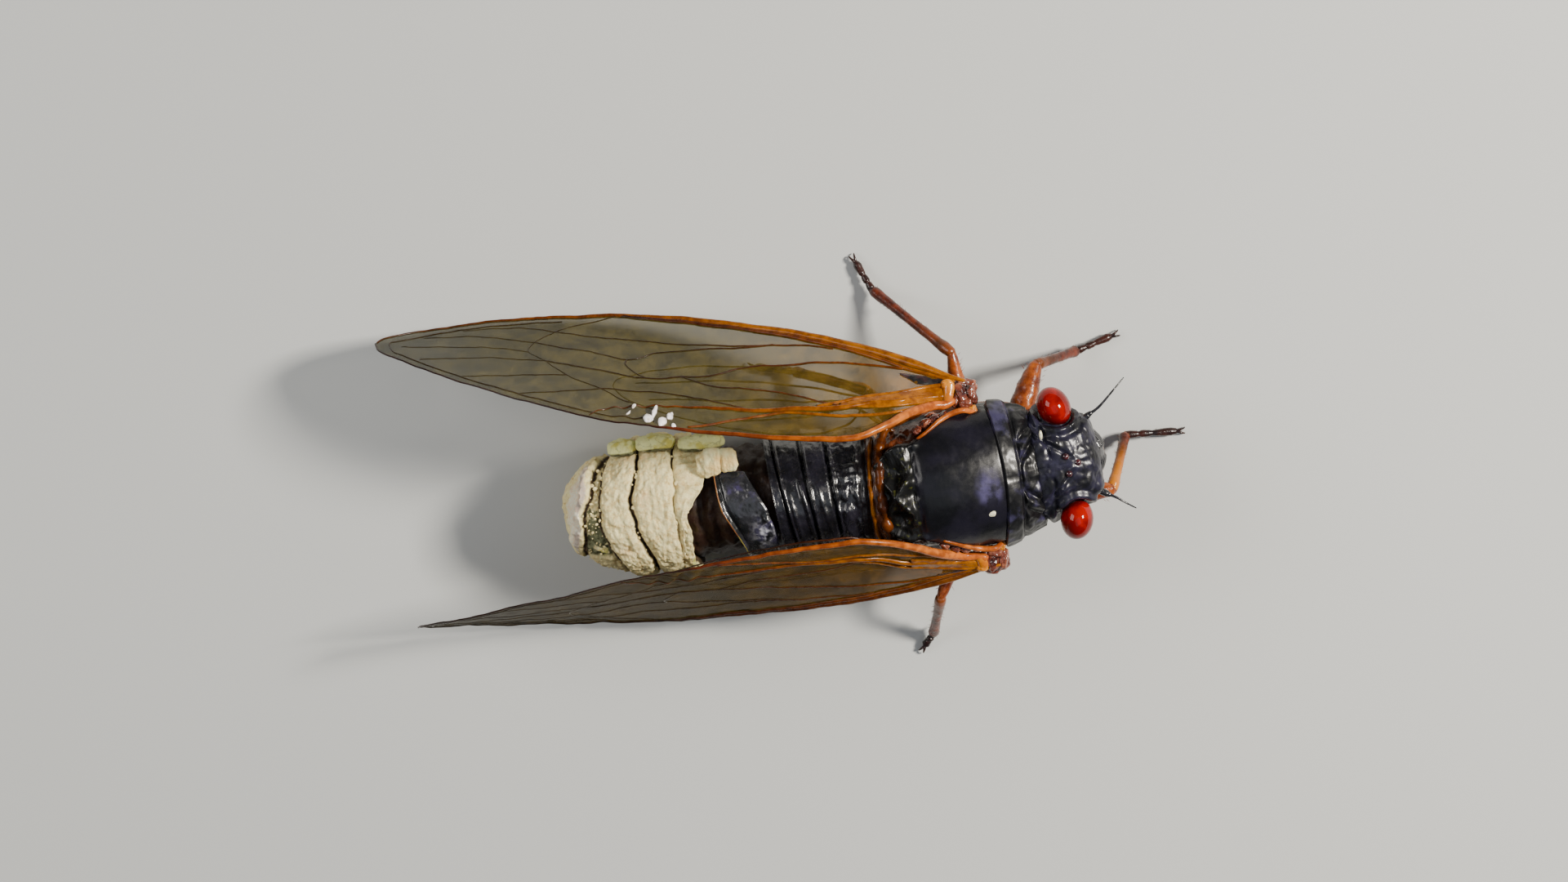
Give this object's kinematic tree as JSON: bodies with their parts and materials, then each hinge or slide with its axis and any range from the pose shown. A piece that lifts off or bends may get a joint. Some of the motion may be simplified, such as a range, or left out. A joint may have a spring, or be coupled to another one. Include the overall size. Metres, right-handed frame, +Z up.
{
  "type": "periodical cicada",
  "caption": "Life-size still model of a periodical cicada at rest, wings half folded, red eyes, with a chalky fungus plug where its rear segments are lost.",
  "frame": {"origin": "on the floor under the middle of the whole insect's box, wings and feet included", "axes": "+X towards the head, +Y to the insect's left, +Z up from the floor that the feet and the plug rest on"},
  "size_m": [0.0456, 0.024, 0.0131],
  "materials": {
    "shell": "glossy black chitin with a bluish sheen and fine wrinkles",
    "eye": "wet glossy red",
    "wing": "clear olive-amber membrane with orange to dark brown raised veins",
    "limb": "glossy rust brown",
    "dark_limb": "glossy dark brown",
    "waist": "orange-brown skin with black plates",
    "stump": "dull dark brown tissue",
    "plug": "dry chalky cream spore mass with dark grooves"
  },
  "bodies": {
    "root": {"head": "shell", "clypeus": "shell", "rostrum": "dark_limb", "eye_left": "eye", "eye_right": "eye", "antenna_left": "shell", "antenna_right": "shell", "pronotum": "shell", "mesothorax": "shell", "metathorax": "waist", "abdomen": "shell", "abdomen_stump": "stump", "abdomen_plate": "shell", "fungus_plug": "plug", "forewing_left": "wing", "forewing_right": "wing", "hindwing_left": "wing", "hindwing_right": "wing", "femur_fore_left": "limb", "femur_fore_right": "limb", "femur_mid_left": "limb", "femur_mid_right": "limb", "femur_hind_left": "limb", "femur_hind_right": "limb", "tibia_fore_left": "limb", "tibia_fore_right": "limb", "tibia_mid_left": "limb", "tibia_mid_right": "limb", "tibia_hind_left": "limb", "tibia_hind_right": "limb", "tarsus_fore_left": "dark_limb", "tarsus_fore_right": "dark_limb", "tarsus_mid_left": "dark_limb", "tarsus_mid_right": "dark_limb", "tarsus_hind_left": "dark_limb", "tarsus_hind_right": "dark_limb"}
  },
  "joints": []
}
